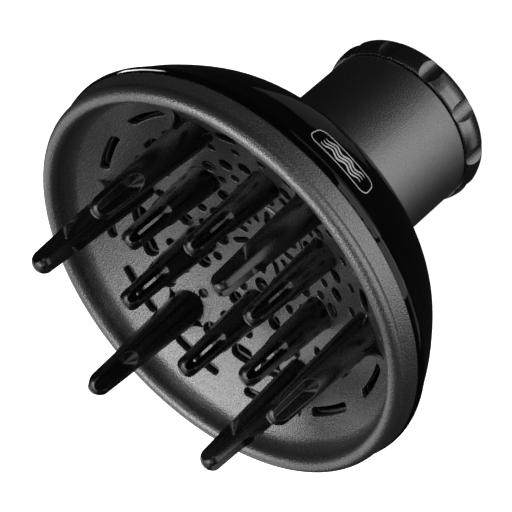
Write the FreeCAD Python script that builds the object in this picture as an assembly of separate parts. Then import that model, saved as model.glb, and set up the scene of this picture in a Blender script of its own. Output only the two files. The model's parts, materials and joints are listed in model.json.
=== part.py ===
import FreeCAD, Part
import math
import os

# Hair dryer diffuser with a twist-lock collar, in millimetres.
# +Z is the bowl's axis and points out of the fingers.
# The origin is the centre of the collar's rear face, on which the part stands.
# Azimuth 0 (+X) is the direction of the first long finger.

V = FreeCAD.Vector
UP = V(0, 0, 1)
ORIGIN = V(0, 0, 0)

# Heights of the main stations
PARTING_Z = 102.0
CREST_Z = 111.5
NECK_TOP_Z = 71.5
COLLAR_HEIGHT = 9.4

# Face: a spherical dish with a raised rim
DISH_APEX_Z = 81.85
DISH_RADIUS = 123.0
DISH_EDGE_R = 68.0
FACE_WALL = 1.6
BOWL_R = 78.0
RIM_FILLET = 7.0
RIM_WALL_ANGLE = 84.0
CREST_R = 74.1
BEAD_R = 2.9
BEAD_END_ANGLE = -25.0
VALLEY_R = 1.2
BAND_ANGLE = 16.0
TONGUE_OUTER_R = 75.95
TONGUE_INNER_R = 74.6
TONGUE_BOTTOM_Z = 98.6
TONGUE_TOP_Z = 107.7

# Backing plate behind the face, and the gap that holds the finger feet
FOOT_THICKNESS = 1.0
BACKING_GAP = FACE_WALL + FOOT_THICKNESS + 0.1
BACKING_WALL = 1.2
BACKING_R = 68.0

# Central grille
HUB_R = 17.2
HUB_SEAT_R = 15.8
HUB_PROUD = 0.8
HUB_SLITS = 12
HUB_SLIT_INNER_R = 7.8
HUB_SLIT_OUTER_R = 15.2
HUB_SLIT_WIDTH = 2.5

# Vent pattern: ring radius, hole radius, azimuths in one sixth of the face
SECTOR = 60.0
SECTORS = 6
SMALL_HOLE_R = 1.8
LARGE_HOLE_R = 2.7
HOLE_RINGS = (
    (20.9, LARGE_HOLE_R, (0.0, 30.0)),
    (26.5, 1.75, (-15.0, 0.0, 15.0)),
    (32.9, LARGE_HOLE_R, (-15.0, 0.0, 15.0)),
    (41.5, SMALL_HOLE_R, (0.0, 15.0, 30.0, 45.0)),
)
OVAL_RING_R = 49.4
OVAL_LENGTH = 8.8
OVAL_WIDTH = 5.0
OVAL_AZIMUTHS = (15.0, 30.0, 45.0)
ARC_SLOT_R = 60.0
ARC_SLOT_WIDTH = 2.9
ARC_SLOT_SPAN = 18.8
ARC_SLOT_AZIMUTHS = (15.0, 45.0)
BACKING_STEP = 0.55

# Fingers
LONG_RING_R = 50.2
SHORT_RING_R = 29.8
LONG_TIP_Z = 143.5
SHORT_TIP_Z = 126.0
TIP_R = 4.25
LONG_ROOT_R = 6.3
SHORT_ROOT_R = 5.8
FOOT_FLANGE = 1.9
FINGER_CLEARANCE = 0.05
LONG_POCKETS = {
    "count": 3, "start": 50.0, "radial": True, "apex": 1.1, "angle": 49.0, "top": 1.6, "bottom": 15.9}
SHORT_POCKETS = {
    "count": 4, "start": 0.0, "radial": False, "apex": 1.0, "angle": 35.5, "top": 1.6, "bottom": 16.8}
SLIT_WIDTH = 1.0
SLIT_TOP = 5.5
SLIT_BOTTOM = 17.3
CORE_R = 2.6
CORE_STOP = 8.0
GUSSETS = ((0.0, 11.8), (90.0, 9.0), (180.0, 6.9), (270.0, 9.0))
GUSSET_RISE = 6.0
GUSSET_THICKNESS = 0.8
GUSSET_ROOT = 1.6

# Bowl shell: outer wall stations (radius, height) from the parting line to the neck
SHELL_STATIONS = (
    (78.0, 102.0), (78.6, 100.0), (77.0, 96.0), (74.0, 90.0), (70.5, 84.0), (66.4, 78.0),
    (61.0, 72.0), (52.5, 66.6), (43.3, 62.9), (36.0, 61.4), (31.0, 61.0),
)
SHELL_WALL = 2.0
SHELL_SEAT_R = 76.0
SHELL_SEAT_DEPTH = 4.0
SHELL_BORE_R = 30.05

# Plate screws and neck screws
PLATE_SCREW_RING_R = 64.6
PLATE_BOSS_R = 2.3
PLATE_BOSS_LENGTH = 6.0
PLATE_SCREW_R = 0.9
PLATE_SCREW_HEAD_R = 3.2
NECK_SCREWS = 4
NECK_SCREW_RING_R = 43.5
NECK_BOSS_R = 3.6
NECK_SCREW_R = 1.3
NECK_SCREW_HEAD_R = 2.9
SCREW_GAP = 0.05
EAR_THICKNESS = 2.5
EAR_R = 4.6

# Neck tube, and the flange under its lip
NECK_R = 30.0
NECK_BORE_R = 27.8
NECK_SHOULDER_Z = 9.7
NECK_LIP_R = 31.6
NECK_LIP_HEIGHT = 1.5
NECK_FLANGE_R = 38.0
SPIGOT_R = 29.0
SPIGOT_BOTTOM_Z = 6.5
THROAT_R = 24.2
THROAT_RISE = 4.0
GROOVE_DEPTH = 0.8
GROOVE_Z = 8.0
GROOVE_HALF = 0.5

# Lock ring (collar)
COLLAR_REAR_R = 30.4
COLLAR_BULGE_R = 31.9
COLLAR_BULGE_Z = 4.2
COLLAR_FRONT_R = 30.7
COLLAR_BORE_R = 29.3
RING_GROOVE_R = 29.9
RING_GROOVE_HALF = 0.7
WEB_BOTTOM_Z = 0.4
WEB_TOP_Z = 1.9
NOTCHES = 11
NOTCH_START = 14.0
NOTCH_CUTTER_R = 5.2
NOTCH_FLOOR_R = 30.3

# Grip mechanism: arms on pins in the neck, driven by cam slots in the collar's web
ARMS = 6
PIVOT_RING_R = 27.0
COLLAR_TRAVEL = 40.0
ARM_SWING = 12.0
ARM_BOTTOM_Z = 2.1
ARM_TOP_Z = 6.2
ARM_INNER_R = 25.2
ARM_OUTER_R = 28.4
ARM_SPAN = 44.0
ARM_BOSS_R = 1.95
PIN_R = 1.0
PIN_RUNNING_CLEARANCE = 0.06
PIN_TOP_Z = 10.2
PEG_R = 0.8
PEG_CLEARANCE = 0.3
PEG_AZIMUTH = 14.0
PEG_RING_R = 27.2
PEG_BOTTOM_Z = 0.7
CAM_STEPS = 10
PAD_INNER_R = 23.7
PAD_START = 18.0
PAD_END = 45.0
PAD_MARGIN_Z = 0.3
PAD_GROOVES = 3
PAD_GROOVE_R = 0.3

DISH_CENTRE = V(0, 0, DISH_APEX_Z + DISH_RADIUS)


def polar(radius, azimuth, z=0.0):
    angle = math.radians(azimuth)
    return V(radius * math.cos(angle), radius * math.sin(angle), z)


def turned(shape, azimuth):
    copy = shape.copy()
    copy.rotate(ORIGIN, UP, azimuth)
    return copy


def cylinder(radius, z_low, z_high, place=ORIGIN):
    return Part.makeCylinder(radius, z_high - z_low, V(place.x, place.y, z_low), UP)


def revolved(edges):
    return Part.Face(Part.Wire(edges)).revolve(ORIGIN, UP, 360)


def polyline(points):
    spots = [V(r, 0, z) for r, z in points]
    return [Part.makeLine(a, b) for a, b in zip(spots, spots[1:])]


def arc_edge(start, middle, end):
    spots = [V(r, 0, z) for r, z in (start, middle, end)]
    return Part.Arc(*spots).toShape()


def dish_z(radius, depth=0.0):
    """Height of the surface that lies `depth` behind the dish."""
    return DISH_CENTRE.z - math.sqrt((DISH_RADIUS + depth) ** 2 - radius ** 2)


def dish_arc(r_start, r_end, depth=0.0):
    r_middle = (r_start + r_end) / 2
    return arc_edge(*[(r, dish_z(r, depth)) for r in (r_start, r_middle, r_end)])


def dish_ball(depth):
    return Part.makeSphere(DISH_RADIUS + depth, DISH_CENTRE)


def export(shape, node):
    shape.exportStep("parts/" + node + ".step")


def stadium_cutter(length, width, z_low, z_high, place, azimuth):
    """Rounded slot of overall `length`, its long axis along `azimuth`."""
    half = (length - width) / 2
    height = z_high - z_low
    box = Part.makeBox(2 * half, width, height, V(-half, -width / 2, z_low))
    ends = [cylinder(width / 2, z_low, z_high, V(x, 0, 0)) for x in (-half, half)]
    slot = turned(box.multiFuse(ends), azimuth)
    slot.translate(place)
    return slot


def arc_slot_cutter(radius, width, span, azimuth, z_low, z_high):
    """Slot of overall angular `span` that follows a circle about the axis."""
    end_angle = math.degrees(width / 2 / radius)
    outer, inner = radius + width / 2, radius - width / 2
    start, stop = azimuth - span / 2 + end_angle, azimuth + span / 2 - end_angle
    corners = [polar(inner, start), polar(outer, start), polar(outer, stop), polar(inner, stop)]
    tips = [polar(radius, start - end_angle), polar(radius, stop + end_angle)]
    edges = [
        Part.Arc(corners[0], tips[0], corners[1]).toShape(),
        Part.Arc(corners[1], polar(outer, azimuth), corners[2]).toShape(),
        Part.Arc(corners[2], tips[1], corners[3]).toShape(),
        Part.Arc(corners[3], polar(inner, azimuth), corners[0]).toShape(),
    ]
    slot = Part.Face(Part.Wire(edges)).extrude(V(0, 0, z_high - z_low))
    slot.translate(V(0, 0, z_low))
    return slot


def vent_cutters(inset):
    """Every vent of the face, each drawn in by `inset` all round."""
    low, high = DISH_APEX_Z - 10, CREST_Z
    cutters = []
    for sector in range(SECTORS):
        base = sector * SECTOR
        for ring_r, hole_r, azimuths in HOLE_RINGS:
            for azimuth in azimuths:
                cutters.append(cylinder(hole_r - inset, low, high, polar(ring_r, base + azimuth)))
        for azimuth in OVAL_AZIMUTHS:
            place = polar(OVAL_RING_R, base + azimuth)
            cutters.append(stadium_cutter(
                OVAL_LENGTH - 2 * inset, OVAL_WIDTH - 2 * inset, low, high, place, base + azimuth + 90))
        for azimuth in ARC_SLOT_AZIMUTHS:
            cutters.append(arc_slot_cutter(
                ARC_SLOT_R, ARC_SLOT_WIDTH - inset, ARC_SLOT_SPAN - inset, base + azimuth, low, high))
    return cutters


def finger_places():
    """Node name, azimuth, ring radius, root radius, tip height and pockets of each finger."""
    places = []
    for index in range(SECTORS):
        node, azimuth = f"long_finger_{index + 1}", index * SECTOR
        places.append((node, azimuth, LONG_RING_R, LONG_ROOT_R, LONG_TIP_Z, LONG_POCKETS))
    for index in range(SECTORS):
        node, azimuth = f"short_finger_{index + 1}", (index + 0.5) * SECTOR
        places.append((node, azimuth, SHORT_RING_R, SHORT_ROOT_R, SHORT_TIP_Z, SHORT_POCKETS))
    return places


def rim_fillet(angle, depth=0.0):
    """Point (radius, height) of the fillet between dish and rim wall, where its slope is `angle`."""
    edge_angle = math.asin(DISH_EDGE_R / DISH_RADIUS)
    centre_r = DISH_EDGE_R - RIM_FILLET * math.sin(edge_angle)
    centre_z = dish_z(DISH_EDGE_R) + RIM_FILLET * math.cos(edge_angle)
    reach = RIM_FILLET + depth
    return centre_r + reach * math.sin(angle), centre_z - reach * math.cos(angle)


def bead_point(angle, depth=0.0):
    """Point of the rim's bead, `depth` inside its surface, where its normal has `angle`."""
    reach = BEAD_R - depth
    turn = math.radians(angle)
    return CREST_R + reach * math.cos(turn), CREST_Z - BEAD_R + reach * math.sin(turn)


def valley_point(angle):
    """Point of the concave round between bead and band, where its normal has `angle`."""
    centre_r, centre_z = bead_point(BEAD_END_ANGLE, -VALLEY_R)
    turn = math.radians(angle)
    return centre_r - VALLEY_R * math.cos(turn), centre_z - VALLEY_R * math.sin(turn)


def face_plate_outline():
    edge_angle = math.asin(DISH_EDGE_R / DISH_RADIUS)
    wall_angle = math.radians(RIM_WALL_ANGLE)
    slopes = (edge_angle, (edge_angle + wall_angle) / 2, wall_angle)
    edge, middle, foot = [rim_fillet(angle) for angle in slopes]
    under_edge, under_middle, under_foot = [rim_fillet(angle, FACE_WALL) for angle in slopes]
    bead_start = RIM_WALL_ANGLE + 90
    bead_end = bead_point(BEAD_END_ANGLE)
    band_top = valley_point(BAND_ANGLE)

    outline = [dish_arc(HUB_SEAT_R, DISH_EDGE_R), arc_edge(edge, middle, foot)]
    outline += polyline([foot, bead_point(bead_start)])
    outline.append(arc_edge(bead_point(bead_start), bead_point(90), bead_end))
    outline.append(arc_edge(bead_end, valley_point((BEAD_END_ANGLE + BAND_ANGLE) / 2), band_top))
    outline += polyline([
        band_top, (BOWL_R, PARTING_Z), (TONGUE_OUTER_R, PARTING_Z),
        (TONGUE_OUTER_R, TONGUE_BOTTOM_Z), (TONGUE_INNER_R, TONGUE_BOTTOM_Z),
        (TONGUE_INNER_R, TONGUE_TOP_Z), bead_point(bead_start, FACE_WALL), under_foot,
    ])
    outline.append(arc_edge(under_foot, under_middle, under_edge))
    outline.append(dish_arc(under_edge[0], HUB_SEAT_R, FACE_WALL))
    outline += polyline([(HUB_SEAT_R, dish_z(HUB_SEAT_R, FACE_WALL)), (HUB_SEAT_R, dish_z(HUB_SEAT_R))])
    return outline


def plate_screw_places():
    return [polar(PLATE_SCREW_RING_R, (sector + 0.5) * SECTOR) for sector in range(SECTORS)]


def face_plate():
    under_z = dish_z(PLATE_SCREW_RING_R, FACE_WALL)
    boss_z = under_z - PLATE_BOSS_LENGTH
    places = plate_screw_places()
    boss_top = dish_ball(FACE_WALL / 2)
    bosses = [cylinder(PLATE_BOSS_R, boss_z, CREST_Z, place).cut(boss_top) for place in places]
    cutters = vent_cutters(0.0)
    cutters += [cylinder(PLATE_SCREW_R, boss_z - 1, under_z, place) for place in places]
    for _, azimuth, ring_r, root_r, _, _ in finger_places():
        hole_r = root_r + FINGER_CLEARANCE
        cutters.append(cylinder(hole_r, DISH_APEX_Z - 10, CREST_Z, polar(ring_r, azimuth)))
    return revolved(face_plate_outline()).multiFuse(bosses).cut(Part.makeCompound(cutters))


def hub_grille():
    """Raised central disc with a ring of radial slits, let into the face plate."""
    proud_z = dish_z(HUB_R) + HUB_PROUD
    crown_z = dish_z(0) + HUB_PROUD
    seat_r = HUB_SEAT_R - FINGER_CLEARANCE
    rest_z = dish_z(HUB_R) + 0.05
    under_z = dish_z(0, FACE_WALL)
    outline = [arc_edge((0, crown_z), (HUB_R / 2, dish_z(HUB_R / 2) + HUB_PROUD), (HUB_R - 0.4, proud_z))]
    outline += polyline([
        (HUB_R - 0.4, proud_z), (HUB_R, proud_z - 0.35), (HUB_R, rest_z), (seat_r, rest_z),
        (seat_r, under_z + 1.0), (0, under_z), (0, crown_z),
    ])
    disc = revolved(outline)
    slit_length = HUB_SLIT_OUTER_R - HUB_SLIT_INNER_R
    slit_r = (HUB_SLIT_OUTER_R + HUB_SLIT_INNER_R) / 2
    cutters = []
    for index in range(HUB_SLITS):
        azimuth = index * 360 / HUB_SLITS
        cutters.append(stadium_cutter(
            slit_length, HUB_SLIT_WIDTH, under_z - 2, crown_z + 5, polar(slit_r, azimuth), azimuth))
    return disc.cut(Part.makeCompound(cutters))


def backing_plate():
    """Perforated plate that clamps the finger feet and steps in every vent."""
    depth = BACKING_GAP
    deep = BACKING_GAP + BACKING_WALL
    inner_r = HUB_SEAT_R
    outline = [dish_arc(inner_r, BACKING_R, depth)]
    outline += polyline([(BACKING_R, dish_z(BACKING_R, depth)), (BACKING_R, dish_z(BACKING_R, deep))])
    outline.append(dish_arc(BACKING_R, inner_r, deep))
    outline += polyline([(inner_r, dish_z(inner_r, deep)), (inner_r, dish_z(inner_r, depth))])
    cutters = vent_cutters(BACKING_STEP)
    cutters += [cylinder(PLATE_BOSS_R + 0.1, DISH_APEX_Z, CREST_Z, place) for place in plate_screw_places()]
    return revolved(outline).cut(Part.makeCompound(cutters))


def screw(shank_r, head_r, head_height, length, points_up):
    """Pan-head screw with a cross slot; the face under its head is at the origin."""
    shank = Part.makeCylinder(shank_r, length)
    head = Part.makeCylinder(head_r, head_height, ORIGIN, V(0, 0, -1))
    long_side, short_side = head_r * 1.3, head_r * 0.32
    bars = []
    for size_x, size_y in ((long_side, short_side), (short_side, long_side)):
        corner = V(-size_x / 2, -size_y / 2, -1.5 * head_height)
        bars.append(Part.makeBox(size_x, size_y, head_height, corner))
    body = shank.fuse(head).cut(Part.makeCompound(bars))
    if not points_up:
        body.rotate(ORIGIN, V(1, 0, 0), 180)
    return body


def placed(shape, place, z):
    copy = shape.copy()
    copy.translate(V(place.x, place.y, z))
    return copy


def plate_screws():
    head_z = dish_z(PLATE_SCREW_RING_R, FACE_WALL) - PLATE_BOSS_LENGTH
    model = screw(PLATE_SCREW_R - SCREW_GAP, PLATE_SCREW_HEAD_R, 1.4, PLATE_BOSS_LENGTH - 1, True)
    return Part.makeCompound([placed(model, place, head_z) for place in plate_screw_places()])


def pocket_cutter(apex, half_angle, z_low, z_high, azimuth):
    """V groove with conical ends, as a conical cutter moved along Z leaves it."""
    reach = 12.0
    spread = (reach - apex) * math.tan(math.radians(half_angle))
    groove = Part.Face(Part.makePolygon([
        V(apex, 0, 0), V(reach, -spread, 0), V(reach, spread, 0), V(apex, 0, 0)]))
    groove = groove.extrude(V(0, 0, z_high - z_low))
    groove.translate(V(0, 0, z_low))
    ends = [Part.makeCone(0, spread, reach - apex, V(apex, 0, z), V(1, 0, 0)) for z in (z_low, z_high)]
    return turned(groove.multiFuse(ends), azimuth)


def gusset(place, root_r, facing, reach):
    """Thin fin with a hollow free edge, from the finger's root down to the dish."""
    foot_z = dish_z((place + polar(reach, facing)).Length)
    top_z = dish_z((place + polar(root_r, facing)).Length) + GUSSET_RISE
    low_z = foot_z - 2
    inner = root_r - GUSSET_ROOT
    hollow = 1 - math.sqrt(0.5)
    middle = (root_r + hollow * (reach - root_r), foot_z + hollow * (top_z - foot_z))
    outline = [arc_edge((reach, foot_z), middle, (root_r, top_z))]
    outline += polyline([(root_r, top_z), (inner, top_z), (inner, low_z), (reach, low_z), (reach, foot_z)])
    fin = Part.Face(Part.Wire(outline)).extrude(V(0, GUSSET_THICKNESS, 0))
    fin.translate(V(0, -GUSSET_THICKNESS / 2, 0))
    fin = turned(fin, facing)
    fin.translate(place)
    return fin.common(dish_ball(-FINGER_CLEARANCE))


def finger(azimuth, ring_r, root_r, tip_z, pockets):
    """One finger with its foot flange, built in the plane of azimuth 0 and then turned to its place."""
    tip_centre_z = tip_z - TIP_R
    place = polar(ring_r, 0)
    low_z = dish_z(ring_r - root_r - FOOT_FLANGE, FACE_WALL + FOOT_THICKNESS) - 2
    straight_top = dish_z(ring_r + root_r) + 0.5
    outline = polyline([(0, low_z), (root_r, low_z), (root_r, straight_top), (TIP_R, tip_centre_z)])
    side = math.sqrt(0.5) * TIP_R
    outline.append(arc_edge((TIP_R, tip_centre_z), (side, tip_centre_z + side), (0, tip_z)))
    outline += polyline([(0, tip_z), (0, low_z)])
    body = revolved(outline)

    pocket_low, pocket_high = tip_z - pockets["bottom"], tip_z - pockets["top"]
    first = pockets["start"] if pockets["radial"] else pockets["start"] - azimuth
    cutters = []
    for index in range(pockets["count"]):
        facing = first + index * 360 / pockets["count"]
        cutters.append(pocket_cutter(pockets["apex"], pockets["angle"], pocket_low, pocket_high, facing))
    if pockets is SHORT_POCKETS:
        corner = V(-2 * TIP_R, -SLIT_WIDTH / 2, tip_z - SLIT_BOTTOM)
        slit = Part.makeBox(4 * TIP_R, SLIT_WIDTH, SLIT_BOTTOM - SLIT_TOP, corner)
        cutters += [turned(slit, first), turned(slit, first + 90)]
    cutters.append(cylinder(CORE_R, low_z - 1, pocket_low - CORE_STOP))
    body = body.cut(Part.makeCompound(cutters))
    body.translate(place)
    if pockets is LONG_POCKETS:
        body = body.multiFuse([gusset(place, root_r, facing, reach) for facing, reach in GUSSETS])

    foot = cylinder(root_r + FOOT_FLANGE, low_z, straight_top + 8, place)
    foot = foot.common(dish_ball(FACE_WALL + FOOT_THICKNESS)).cut(dish_ball(FACE_WALL + FINGER_CLEARANCE))
    foot = foot.cut(cylinder(CORE_R, low_z - 1, straight_top, place))
    body = body.common(dish_ball(FACE_WALL + FOOT_THICKNESS)).fuse(foot).removeSplitter()
    return turned(body, azimuth)


def shell_curve(stations):
    curve = Part.BSplineCurve()
    curve.interpolate([V(r, 0, z) for r, z in stations])
    return curve


def neck_screw_azimuths():
    return [45 + index * 360 / NECK_SCREWS for index in range(NECK_SCREWS)]


def neck_screw_places():
    return [polar(NECK_SCREW_RING_R, azimuth) for azimuth in neck_screw_azimuths()]


def bowl_shell():
    outer = shell_curve(SHELL_STATIONS)
    inner_points = []
    for r, z in SHELL_STATIONS[3:]:
        parameter = outer.parameter(V(r, 0, z))
        tangent = outer.tangent(parameter)[0]
        inner_points.append((r + SHELL_WALL * tangent.z, z - SHELL_WALL * tangent.x))
    seat_z = PARTING_Z - SHELL_SEAT_DEPTH
    inner_points.insert(0, (SHELL_SEAT_R - 1.2, seat_z - 1.2))
    inner = shell_curve(inner_points)
    neck_end, inner_end = SHELL_STATIONS[-1], inner_points[-1]
    outline = [outer.toShape(), inner.toShape()]
    outline += polyline([
        neck_end, (SHELL_BORE_R, neck_end[1]), (SHELL_BORE_R, inner_end[1]), inner_end])
    outline += polyline([
        inner_points[0], (SHELL_SEAT_R, seat_z), (SHELL_SEAT_R, PARTING_Z), SHELL_STATIONS[0]])
    shell = revolved(Part.sortEdges(outline)[0])

    ear_z = NECK_TOP_Z - EAR_THICKNESS
    wall_z = SHELL_STATIONS[-3][1]
    places = neck_screw_places()
    bosses = [cylinder(NECK_BOSS_R, wall_z + SHELL_WALL * 0.6, ear_z, place) for place in places]
    pilots = [cylinder(NECK_SCREW_R, wall_z + SHELL_WALL, ear_z + 1, place) for place in places]
    return shell.multiFuse(bosses).cut(Part.makeCompound(pilots))


def neck_tube():
    """Tube with a lip at its top, which the flange holds down, and a grooved spigot for the collar."""
    lip_z = NECK_TOP_Z + NECK_LIP_HEIGHT
    groove_low, groove_high = GROOVE_Z - GROOVE_HALF - 0.05, GROOVE_Z + GROOVE_HALF + 0.05
    outline = polyline([
        (THROAT_R, SPIGOT_BOTTOM_Z), (SPIGOT_R, SPIGOT_BOTTOM_Z), (SPIGOT_R, groove_low),
        (SPIGOT_R - GROOVE_DEPTH, groove_low), (SPIGOT_R - GROOVE_DEPTH, groove_high),
        (SPIGOT_R, groove_high), (SPIGOT_R, NECK_SHOULDER_Z), (NECK_R - 0.3, NECK_SHOULDER_Z),
        (NECK_R, NECK_SHOULDER_Z + 0.3), (NECK_R, NECK_TOP_Z), (NECK_LIP_R, NECK_TOP_Z),
        (NECK_LIP_R, lip_z), (NECK_BORE_R, lip_z), (NECK_BORE_R, NECK_SHOULDER_Z + THROAT_RISE),
        (THROAT_R, NECK_SHOULDER_Z), (THROAT_R, SPIGOT_BOTTOM_Z),
    ])
    places = [polar(PIVOT_RING_R, index * 360 / ARMS) for index in range(ARMS)]
    holes = [cylinder(PIN_R + 0.02, SPIGOT_BOTTOM_Z - 1, PIN_TOP_Z, place) for place in places]
    return revolved(outline).cut(Part.makeCompound(holes))


def neck_flange():
    """Ring round the neck with four ears, screwed to the shell's bosses."""
    low_z = NECK_TOP_Z - EAR_THICKNESS
    ring = cylinder(NECK_FLANGE_R, low_z, NECK_TOP_Z)
    reach = NECK_SCREW_RING_R - NECK_FLANGE_R + 3
    bridge = Part.makeBox(reach, 2 * EAR_R, EAR_THICKNESS, V(NECK_SCREW_RING_R - reach, -EAR_R, low_z))
    ears = []
    holes = [cylinder(SHELL_BORE_R, low_z - 1, NECK_TOP_Z + 1)]
    for azimuth, place in zip(neck_screw_azimuths(), neck_screw_places()):
        ears += [turned(bridge, azimuth), cylinder(EAR_R, low_z, NECK_TOP_Z, place)]
        holes.append(cylinder(NECK_SCREW_R + 0.3, low_z - 1, NECK_TOP_Z + 1, place))
    return ring.multiFuse(ears).cut(Part.makeCompound(holes))


def neck_screws():
    model = screw(NECK_SCREW_R - SCREW_GAP, NECK_SCREW_HEAD_R, 1.8, 6.0, False)
    return Part.makeCompound([placed(model, place, NECK_TOP_Z) for place in neck_screw_places()])


def snap_ring():
    """Split retaining ring in the spigot's groove, reaching into the collar's groove."""
    outer_r = RING_GROOVE_R - 0.3
    low, high = GROOVE_Z - GROOVE_HALF + 0.05, GROOVE_Z + GROOVE_HALF - 0.05
    ring = cylinder(outer_r, low, high).cut(cylinder(SPIGOT_R - GROOVE_DEPTH + 0.1, low - 1, high + 1))
    gap = Part.makeBox(6, 5, 4, V(SPIGOT_R - 4, -2.5, low - 1))
    return ring.cut(turned(gap, 30))


def pivot_pins():
    pins = []
    for index in range(ARMS):
        place = polar(PIVOT_RING_R, index * 360 / ARMS)
        pins.append(cylinder(PIN_R, ARM_BOTTOM_Z, PIN_TOP_Z, place))
    return Part.makeCompound(pins)


def swing_ratio():
    return ARM_SWING / COLLAR_TRAVEL


def peg_path(collar_angle):
    """Peg centre in the collar's own frame, after the collar has turned by `collar_angle`."""
    pivot = polar(PIVOT_RING_R, 0)
    arm = polar(PEG_RING_R, PEG_AZIMUTH) - pivot
    swung = FreeCAD.Rotation(UP, collar_angle * swing_ratio()).multVec(arm)
    return FreeCAD.Rotation(UP, -collar_angle).multVec(pivot + swung)


def cam_slot():
    """Slot that turns each arm in constant ratio to the collar."""
    half = PEG_R + PEG_CLEARANCE
    step = COLLAR_TRAVEL / CAM_STEPS
    small = 0.01
    sides = {1: [], -1: []}
    normals = []
    for index in range(CAM_STEPS + 1):
        angle = index * step
        way = peg_path(angle + small) - peg_path(angle - small)
        way.normalize()
        normals.append(way)
        across = UP.cross(way)
        for side in sides:
            sides[side].append(peg_path(angle) + across * (half * side))
    curves = {}
    for side, points in sides.items():
        curves[side] = Part.BSplineCurve()
        curves[side].interpolate(points)
    start_tip = peg_path(0) - normals[0] * half
    end_tip = peg_path(COLLAR_TRAVEL) + normals[-1] * half
    edges = [
        curves[1].toShape(),
        Part.Arc(sides[1][-1], end_tip, sides[-1][-1]).toShape(),
        curves[-1].toShape(),
        Part.Arc(sides[-1][0], start_tip, sides[1][0]).toShape(),
    ]
    slot = Part.Face(Part.Wire(Part.sortEdges(edges)[0])).extrude(V(0, 0, WEB_TOP_Z + 2))
    slot.translate(V(0, 0, -1))
    return slot


def lock_ring():
    bulge_rear = (COLLAR_REAR_R + 0.7, 0.9)
    bulge_front = (COLLAR_FRONT_R + 0.3, COLLAR_HEIGHT - 0.5)
    outline = polyline([(COLLAR_REAR_R, 0), bulge_rear])
    outline.append(arc_edge(bulge_rear, (COLLAR_BULGE_R, COLLAR_BULGE_Z), bulge_front))
    groove_low, groove_high = GROOVE_Z - RING_GROOVE_HALF, GROOVE_Z + RING_GROOVE_HALF
    outline += polyline([
        bulge_front, (COLLAR_FRONT_R, COLLAR_HEIGHT),
        (COLLAR_BORE_R, COLLAR_HEIGHT), (COLLAR_BORE_R, groove_high), (RING_GROOVE_R, groove_high),
        (RING_GROOVE_R, groove_low), (COLLAR_BORE_R, groove_low), (COLLAR_BORE_R, WEB_TOP_Z),
        (THROAT_R, WEB_TOP_Z), (THROAT_R, WEB_BOTTOM_Z), (COLLAR_BORE_R - 0.4, WEB_BOTTOM_Z),
        (COLLAR_BORE_R - 0.4, 0), (COLLAR_REAR_R, 0),
    ])
    ring = revolved(outline)
    cutters = []
    for index in range(NOTCHES):
        place = polar(NOTCH_FLOOR_R + NOTCH_CUTTER_R, NOTCH_START + index * 360 / NOTCHES)
        cutters.append(cylinder(NOTCH_CUTTER_R, -1, COLLAR_HEIGHT + 1, place))
    for index in range(ARMS):
        cutters.append(turned(cam_slot(), index * 360 / ARMS))
    return ring.cut(Part.makeCompound(cutters))


def band(inner_r, outer_r, start, stop, z_low, z_high):
    """Curved bar between two radii and two azimuths."""
    middle = (start + stop) / 2
    edges = [
        Part.Arc(polar(inner_r, start), polar(inner_r, middle), polar(inner_r, stop)).toShape(),
        Part.makeLine(polar(inner_r, stop), polar(outer_r, stop)),
        Part.Arc(polar(outer_r, stop), polar(outer_r, middle), polar(outer_r, start)).toShape(),
        Part.makeLine(polar(outer_r, start), polar(inner_r, start)),
    ]
    bar = Part.Face(Part.Wire(edges)).extrude(V(0, 0, z_high - z_low))
    bar.translate(V(0, 0, z_low))
    return bar


def grip_arm(azimuth):
    bar = band(ARM_INNER_R, ARM_OUTER_R, 0, ARM_SPAN, ARM_BOTTOM_Z, ARM_TOP_Z)
    middle_r = (ARM_INNER_R + ARM_OUTER_R) / 2
    nose_r = (ARM_OUTER_R - ARM_INNER_R) / 2
    additions = [
        cylinder(ARM_BOSS_R, ARM_BOTTOM_Z, ARM_TOP_Z, polar(PIVOT_RING_R, 0)),
        cylinder(nose_r, ARM_BOTTOM_Z, ARM_TOP_Z, polar(middle_r, ARM_SPAN)),
        cylinder(PEG_R, PEG_BOTTOM_Z, ARM_BOTTOM_Z + 1, polar(PEG_RING_R, PEG_AZIMUTH)),
    ]
    bore = cylinder(PIN_R + PIN_RUNNING_CLEARANCE, 0, ARM_TOP_Z + 1, polar(PIVOT_RING_R, 0))
    return turned(bar.multiFuse(additions).cut(bore).removeSplitter(), azimuth)


def grip_pad(azimuth):
    low, high = ARM_BOTTOM_Z + PAD_MARGIN_Z, ARM_TOP_Z - PAD_MARGIN_Z
    pad = band(PAD_INNER_R, ARM_INNER_R, PAD_START, PAD_END, low, high)
    pitch = (PAD_END - PAD_START) / PAD_GROOVES
    grooves = []
    for index in range(PAD_GROOVES):
        place = polar(PAD_INNER_R, PAD_START + (index + 0.5) * pitch)
        grooves.append(cylinder(PAD_GROOVE_R, low - 1, high + 1, place))
    return turned(pad.cut(Part.makeCompound(grooves)), azimuth)


def main():
    os.makedirs("parts", exist_ok=True)
    export(face_plate(), "face_plate")
    export(hub_grille(), "hub_grille")
    export(backing_plate(), "backing_plate")
    export(plate_screws(), "plate_screws")
    export(bowl_shell(), "bowl_shell")
    export(neck_tube(), "neck_tube")
    export(neck_flange(), "neck_flange")
    export(neck_screws(), "neck_screws")
    export(snap_ring(), "snap_ring")
    export(pivot_pins(), "pivot_pins")
    export(lock_ring(), "lock_ring")
    for node, azimuth, ring_r, root_r, tip_z, pockets in finger_places():
        export(finger(azimuth, ring_r, root_r, tip_z, pockets), node)
    for index in range(ARMS):
        azimuth = index * 360 / ARMS
        export(grip_arm(azimuth), f"grip_arm_{index + 1}")
        export(grip_pad(azimuth), f"grip_pad_{index + 1}")


main()
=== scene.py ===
import bmesh
import bpy
import json
import math
from mathutils import Matrix, Vector
from mathutils.bvhtree import BVHTree


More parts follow.
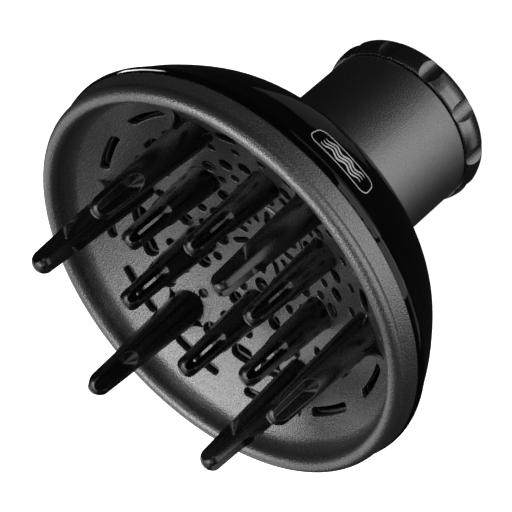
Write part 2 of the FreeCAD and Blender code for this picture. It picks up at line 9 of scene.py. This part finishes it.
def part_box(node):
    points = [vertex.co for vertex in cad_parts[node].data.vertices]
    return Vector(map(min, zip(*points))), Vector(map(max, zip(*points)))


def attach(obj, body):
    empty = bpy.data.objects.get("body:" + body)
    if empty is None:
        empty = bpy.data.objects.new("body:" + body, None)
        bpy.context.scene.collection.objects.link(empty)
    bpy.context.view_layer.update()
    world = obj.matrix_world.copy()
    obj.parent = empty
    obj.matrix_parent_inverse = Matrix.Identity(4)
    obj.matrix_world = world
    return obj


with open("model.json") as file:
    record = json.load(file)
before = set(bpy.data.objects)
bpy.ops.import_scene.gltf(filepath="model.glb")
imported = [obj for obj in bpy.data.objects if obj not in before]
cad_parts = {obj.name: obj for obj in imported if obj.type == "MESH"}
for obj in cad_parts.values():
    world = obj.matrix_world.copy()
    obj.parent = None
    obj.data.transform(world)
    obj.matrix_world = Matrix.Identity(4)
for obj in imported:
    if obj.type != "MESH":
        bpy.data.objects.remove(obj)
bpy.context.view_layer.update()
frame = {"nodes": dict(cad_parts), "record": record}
nodes = frame["nodes"]
scene = bpy.context.scene
scene.view_settings.view_transform = "Standard"


# ---------------------------------------------------------------- camera

CAMERA_PLACE = Vector((0.83686, 0.01750, 0.64914))
CAMERA_AIM = Vector((0.005633, -0.001251, 0.093520))
CAMERA_ROLL = math.radians(-131.2)
CAMERA_LENS = 209.7
CAMERA_NEAR = 0.05
CAMERA_FAR = 30.0


def camera_axes():
    """Right, up and backward directions of the picture, in the row frame."""
    back = (CAMERA_PLACE - CAMERA_AIM).normalized()
    level = (-back).cross(Vector((0, 0, 1))).normalized()
    rise = level.cross(-back)
    right = math.cos(CAMERA_ROLL) * level + math.sin(CAMERA_ROLL) * rise
    up = -math.sin(CAMERA_ROLL) * level + math.cos(CAMERA_ROLL) * rise
    return right, up, back


def placed_matrix(right, up, back, place):
    turn = Matrix((right, up, back)).transposed()
    return Matrix.Translation(place) @ turn.to_4x4()


def make_camera():
    data = bpy.data.cameras.new("camera")
    data.lens = CAMERA_LENS
    data.clip_start = CAMERA_NEAR
    data.clip_end = CAMERA_FAR
    camera = bpy.data.objects.new("camera", data)
    camera.matrix_world = placed_matrix(*camera_axes(), CAMERA_PLACE)
    scene.collection.objects.link(camera)
    scene.camera = camera


# ---------------------------------------------------------------- materials

NOISE_LOW = 0.3
NOISE_HIGH = 0.7
NOISE_ROUGHNESS = 0.6
MOTTLE_SCALE = 60.0
MOTTLE_DETAIL = 4.0
GRAIN_DETAIL = 2.0
GRAIN_STRENGTH = 0.6
BEVEL_SAMPLES = 4


def new_material(name):
    material = bpy.data.materials.new(name)
    material.use_nodes = True
    tree = material.node_tree
    shader = tree.nodes["Principled BSDF"]
    return material, tree, shader


def add_node(tree, kind, **inputs):
    node = tree.nodes.new(kind)
    for key, value in inputs.items():
        node.inputs[key.replace("_", " ")].default_value = value
    return node


def object_noise(tree, scale, detail, roughness):
    coordinates = tree.nodes.new("ShaderNodeTexCoord")
    noise = add_node(tree, "ShaderNodeTexNoise", Scale=scale, Detail=detail, Roughness=roughness)
    tree.links.new(coordinates.outputs["Object"], noise.inputs["Vector"])
    return noise.outputs["Fac"]


def ramp(tree, source, low, high):
    """Map the middle of a noise to low..high."""
    node = add_node(tree, "ShaderNodeMapRange")
    node.inputs["From Min"].default_value = NOISE_LOW
    node.inputs["From Max"].default_value = NOISE_HIGH
    node.inputs["To Min"].default_value = low
    node.inputs["To Max"].default_value = high
    tree.links.new(source, node.inputs["Value"])
    return node.outputs["Result"]


def colour_ramp(tree, source, dark, light):
    mix = tree.nodes.new("ShaderNodeMix")
    mix.data_type = "RGBA"
    mix.inputs["A"].default_value = (*dark, 1)
    mix.inputs["B"].default_value = (*light, 1)
    tree.links.new(source, mix.inputs["Factor"])
    return mix.outputs["Result"]


def bump(tree, height, distance, shader, edge):
    """Grain `distance` metres deep on a surface whose edges are rounded by `edge` metres."""
    bevel = add_node(tree, "ShaderNodeBevel", Radius=edge)
    bevel.samples = BEVEL_SAMPLES
    node = add_node(tree, "ShaderNodeBump", Strength=GRAIN_STRENGTH, Distance=distance)
    tree.links.new(height, node.inputs["Height"])
    tree.links.new(bevel.outputs["Normal"], node.inputs["Normal"])
    tree.links.new(node.outputs["Normal"], shader.inputs["Normal"])


def surface(name, shades, rough, grain, metallic=0.0, ior=1.5, edge=0.0003):
    """Moulded or coated surface: mottled colour, uneven roughness and a grain of (scale, depth)."""
    material, tree, shader = new_material(name)
    shader.inputs["Metallic"].default_value = metallic
    shader.inputs["IOR"].default_value = ior
    mottle = object_noise(tree, MOTTLE_SCALE, MOTTLE_DETAIL, NOISE_ROUGHNESS)
    grain_scale, grain_depth = grain
    bumps = object_noise(tree, grain_scale, GRAIN_DETAIL, NOISE_ROUGHNESS)
    colour = colour_ramp(tree, ramp(tree, mottle, 0.0, 1.0), grey(shades[0]), grey(shades[1]))
    tree.links.new(colour, shader.inputs["Base Color"])
    tree.links.new(ramp(tree, bumps, rough[0], rough[1]), shader.inputs["Roughness"])
    bump(tree, bumps, grain_depth, shader, edge)
    return material


def grey(value):
    return (value, value, value)


FINISHES = {
    "face_grey": dict(
        shades=(0.03, 0.038), rough=(0.24, 0.34), grain=(1900.0, 0.0003), ior=2.3, edge=0.0006),
    "inner_black": dict(shades=(0.014, 0.019), rough=(0.35, 0.5), grain=(1800.0, 0.00004), ior=1.8),
    "gloss_black": dict(shades=(0.002, 0.003), rough=(0.03, 0.06), grain=(220.0, 0.000003), ior=1.35),
    "neck_satin": dict(shades=(0.014, 0.019), rough=(0.32, 0.42), grain=(2000.0, 0.00022), ior=2.6),
    "collar_satin": dict(shades=(0.008, 0.011), rough=(0.22, 0.32), grain=(1600.0, 0.00003), ior=2.3),
    "finger_black": dict(
        shades=(0.003, 0.005), rough=(0.2, 0.3), grain=(1700.0, 0.000015), ior=1.6, edge=0.0006),
    "arm_black": dict(shades=(0.02, 0.026), rough=(0.4, 0.5), grain=(1800.0, 0.00004)),
    "pad_rubber": dict(shades=(0.03, 0.04), rough=(0.65, 0.8), grain=(1500.0, 0.00006)),
    "pin_steel": dict(shades=(0.5, 0.6), rough=(0.2, 0.35), grain=(900.0, 0.00001), metallic=1.0),
    "spring_steel": dict(shades=(0.35, 0.45), rough=(0.25, 0.4), grain=(900.0, 0.00001), metallic=1.0),
    "badge_foil": dict(shades=(0.75, 0.85), rough=(0.3, 0.4), grain=(1400.0, 0.00001), edge=0.00002),
    "screw_steel": dict(shades=(0.3, 0.4), rough=(0.25, 0.4), grain=(900.0, 0.00001), metallic=1.0),
}


def make_materials():
    return {name: surface(name, **finish) for name, finish in FINISHES.items()}


# ---------------------------------------------------------------- badge

BADGE_AZIMUTH = math.radians(3.9)
BADGE_DEPTH = 0.0124
BADGE_LENGTH = 0.0272
BADGE_WIDTH = 0.0104
BADGE_CORNER = 0.0034
BADGE_SLOPE = 0.876
LINE_WIDTH = 0.00046
LINE_RISE = 0.00009
LINE_SINK = 0.00012
WAVES = (-0.0022, 0.0, 0.0022)
WAVE_LENGTH = 0.0066
WAVE_HEIGHT = 0.0009
WAVE_REACH = 0.0094
WAVE_WIDTH = 0.0011
WAVE_STEPS = 30
WAVE_BLUNTNESS = 1.02
CORNER_STEPS = 8
SIDE_STEPS = 24
TOP_SHARE = 0.8
PROBE_DISTANCE = 0.01


def badge_outline():
    """Rounded rectangle: points (along, across, width)."""
    half_x, half_y = BADGE_LENGTH / 2 - BADGE_CORNER, BADGE_WIDTH / 2 - BADGE_CORNER
    corners = ((half_x, half_y), (-half_x, half_y), (-half_x, -half_y), (half_x, -half_y))
    points = []
    for quarter, (x, y) in enumerate(corners):
        for step in range(CORNER_STEPS + 1):
            turn = math.radians(90 * quarter + 90 * step / CORNER_STEPS)
            points.append((x + BADGE_CORNER * math.cos(turn), y + BADGE_CORNER * math.sin(turn), LINE_WIDTH))
        if quarter % 2 == 0:
            side = 1 if quarter == 0 else -1
            for step in range(1, SIDE_STEPS):
                along = side * half_x * (1 - 2 * step / SIDE_STEPS)
                points.append((along, side * (half_y + BADGE_CORNER), LINE_WIDTH))
    return points


def badge_wave(across):
    """Wavy line that is thickest in its middle."""
    points = []
    for step in range(-WAVE_STEPS, WAVE_STEPS + 1):
        share = step / WAVE_STEPS
        along = share * WAVE_REACH
        lift = WAVE_HEIGHT * math.sin(2 * math.pi * along / WAVE_LENGTH)
        width = WAVE_WIDTH * math.sqrt(WAVE_BLUNTNESS - share * share)
        points.append((along, across + lift, width))
    return points


def add_line(mesh, points, closed, place_on):
    """Raised strip along `points`, four corners to a section."""
    section = ((-1, -LINE_SINK), (-TOP_SHARE, LINE_RISE), (TOP_SHARE, LINE_RISE), (1, -LINE_SINK))
    count = len(points)
    rings = []
    for index, (along, across, width) in enumerate(points):
        before = points[(index - 1) % count if closed else max(index - 1, 0)]
        after = points[(index + 1) % count if closed else min(index + 1, count - 1)]
        way = Vector((after[0] - before[0], after[1] - before[1])).normalized()
        ring = []
        for side, height in section:
            shift = side * width / 2
            spot, normal = place_on(along - way.y * shift, across + way.x * shift)
            ring.append(mesh.verts.new(spot + normal * height))
        rings.append(ring)
    pairs = list(zip(rings, rings[1:] + rings[:1])) if closed else list(zip(rings, rings[1:]))
    for first, second in pairs:
        for corner in range(4):
            following = (corner + 1) % 4
            mesh.faces.new((first[corner], first[following], second[following], second[corner]))
    if not closed:
        mesh.faces.new(rings[0])
        mesh.faces.new(reversed(rings[-1]))


def make_badge():
    """Plain outline with three airflow waves, raised a little on the shell."""
    shell = nodes["bowl_shell"]
    surface_tree = BVHTree.FromPolygons(
        [shell.matrix_world @ vertex.co for vertex in shell.data.vertices],
        [list(polygon.vertices) for polygon in shell.data.polygons])
    radius, _, top_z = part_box("bowl_shell")[1]
    middle_z = top_z - BADGE_DEPTH

    def place_on(along, across):
        azimuth = BADGE_AZIMUTH + along / radius
        outward = Vector((math.cos(azimuth), math.sin(azimuth), 0))
        start = outward * (radius + PROBE_DISTANCE)
        start.z = middle_z + across * BADGE_SLOPE
        spot, normal, _, _ = surface_tree.ray_cast(start, -outward)
        return spot, normal

    mesh = bmesh.new()
    add_line(mesh, badge_outline(), True, place_on)
    for across in WAVES:
        add_line(mesh, badge_wave(across), False, place_on)
    bmesh.ops.recalc_face_normals(mesh, faces=mesh.faces)
    data = bpy.data.meshes.new("badge")
    mesh.to_mesh(data)
    mesh.free()
    badge = bpy.data.objects.new("badge", data)
    scene.collection.objects.link(badge)
    badge.data.materials.append(materials["badge_foil"])
    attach(badge, "diffuser")


# ---------------------------------------------------------------- stage and lights

FLOOR_SIZE = 12.0
FLOOR_SHADES = (0.86, 0.88)
FLOOR_NOISE_SCALE = 3.0
FLOOR_ROUGHNESS = 0.9
FLOOR_GLOW = 1.0
ROOM_SHADE = 0.01


def make_floor():
    bpy.ops.mesh.primitive_plane_add(size=FLOOR_SIZE)
    floor = bpy.context.object
    floor.name = "floor"
    material, tree, shader = new_material("floor_pale")
    noise = ramp(tree, object_noise(tree, FLOOR_NOISE_SCALE, 2.0, 0.5), 0.0, 1.0)
    colour = colour_ramp(tree, noise, grey(FLOOR_SHADES[0]), grey(FLOOR_SHADES[1]))
    tree.links.new(colour, shader.inputs["Base Color"])
    shader.inputs["Roughness"].default_value = FLOOR_ROUGHNESS
    shader.inputs["Emission Color"].default_value = (1, 1, 1, 1)
    shader.inputs["Emission Strength"].default_value = FLOOR_GLOW
    floor.data.materials.append(material)
    floor.visible_glossy = False
    floor.visible_shadow = False
    floor.visible_diffuse = False


def make_world():
    """White to the camera, nearly dark to the object."""
    world = bpy.data.worlds.new("studio")
    world.use_nodes = True
    tree = world.node_tree
    background = tree.nodes["Background"]
    path = tree.nodes.new("ShaderNodeLightPath")
    mix = tree.nodes.new("ShaderNodeMix")
    mix.data_type = "RGBA"
    mix.inputs["A"].default_value = (*grey(ROOM_SHADE), 1)
    mix.inputs["B"].default_value = (1, 1, 1, 1)
    tree.links.new(path.outputs["Is Camera Ray"], mix.inputs["Factor"])
    tree.links.new(mix.outputs["Result"], background.inputs["Color"])
    scene.world = world


LIGHT_TARGET = Vector((0, 0, 0.09))
LIGHT_DISTANCE = 1.1


def softbox(name, azimuth, elevation, size, power):
    """Area light that faces the object from a direction in degrees; the camera doesn't see it."""
    turn, rise = math.radians(azimuth), math.radians(elevation)
    back = Vector((math.cos(turn) * math.cos(rise), math.sin(turn) * math.cos(rise), math.sin(rise)))
    side = Vector((-math.sin(turn), math.cos(turn), 0))
    data = bpy.data.lights.new(name, "AREA")
    data.shape = "RECTANGLE"
    data.size, data.size_y = size
    data.energy = power
    light = bpy.data.objects.new(name, data)
    light.matrix_world = placed_matrix(side, back.cross(side), back, LIGHT_TARGET + LIGHT_DISTANCE * back)
    light.visible_camera = False
    scene.collection.objects.link(light)
    return light


def only_on(light, node):
    """Flag a light off everything but one node."""
    lit = bpy.data.collections.new(f"{light.name}_lit")
    lit.objects.link(nodes[node])
    light.light_linking.receiver_collection = lit


def make_lights():
    softbox("key_left", 92, 60, (0.55, 0.55), 4.6)
    softbox("overhead", 0, 88, (0.4, 0.4), 3.2)
    softbox("fill_left", 150, 60, (0.55, 0.55), 1.5)
    softbox("fill_back", -150, 60, (0.55, 0.55), 0.9)
    softbox("fill_right", -30, 60, (0.55, 0.55), 0.9)
    for azimuth in (-45, -15):
        for elevation in (-30, 0):
            softbox("side_right", azimuth, elevation, (0.55, 0.55), 1.6)
    softbox("fill_edge", -75, -32, (0.5, 0.5), 0.4)
    softbox("fill_low", 0, -56, (0.9, 0.4), 0.4)
    softbox("bead_front", 28, 28, (0.8, 0.2), 1.1)
    softbox("rim_back", 174, 16, (0.9, 0.7), 2.2)
    softbox("shell_under", 150, -71, (0.35, 0.35), 0.03)
    strip = softbox("shell_strip", 112, -18, (0.45, 0.18), 3.5)
    only_on(strip, "bowl_shell")


# ---------------------------------------------------------------- build

make_camera()
materials = make_materials()
for part in frame["record"]["subparts"]:
    for slot in nodes[part["node"]].material_slots:
        slot.material = materials[part["material_slot"]]
make_badge()
make_floor()
make_world()
make_lights()
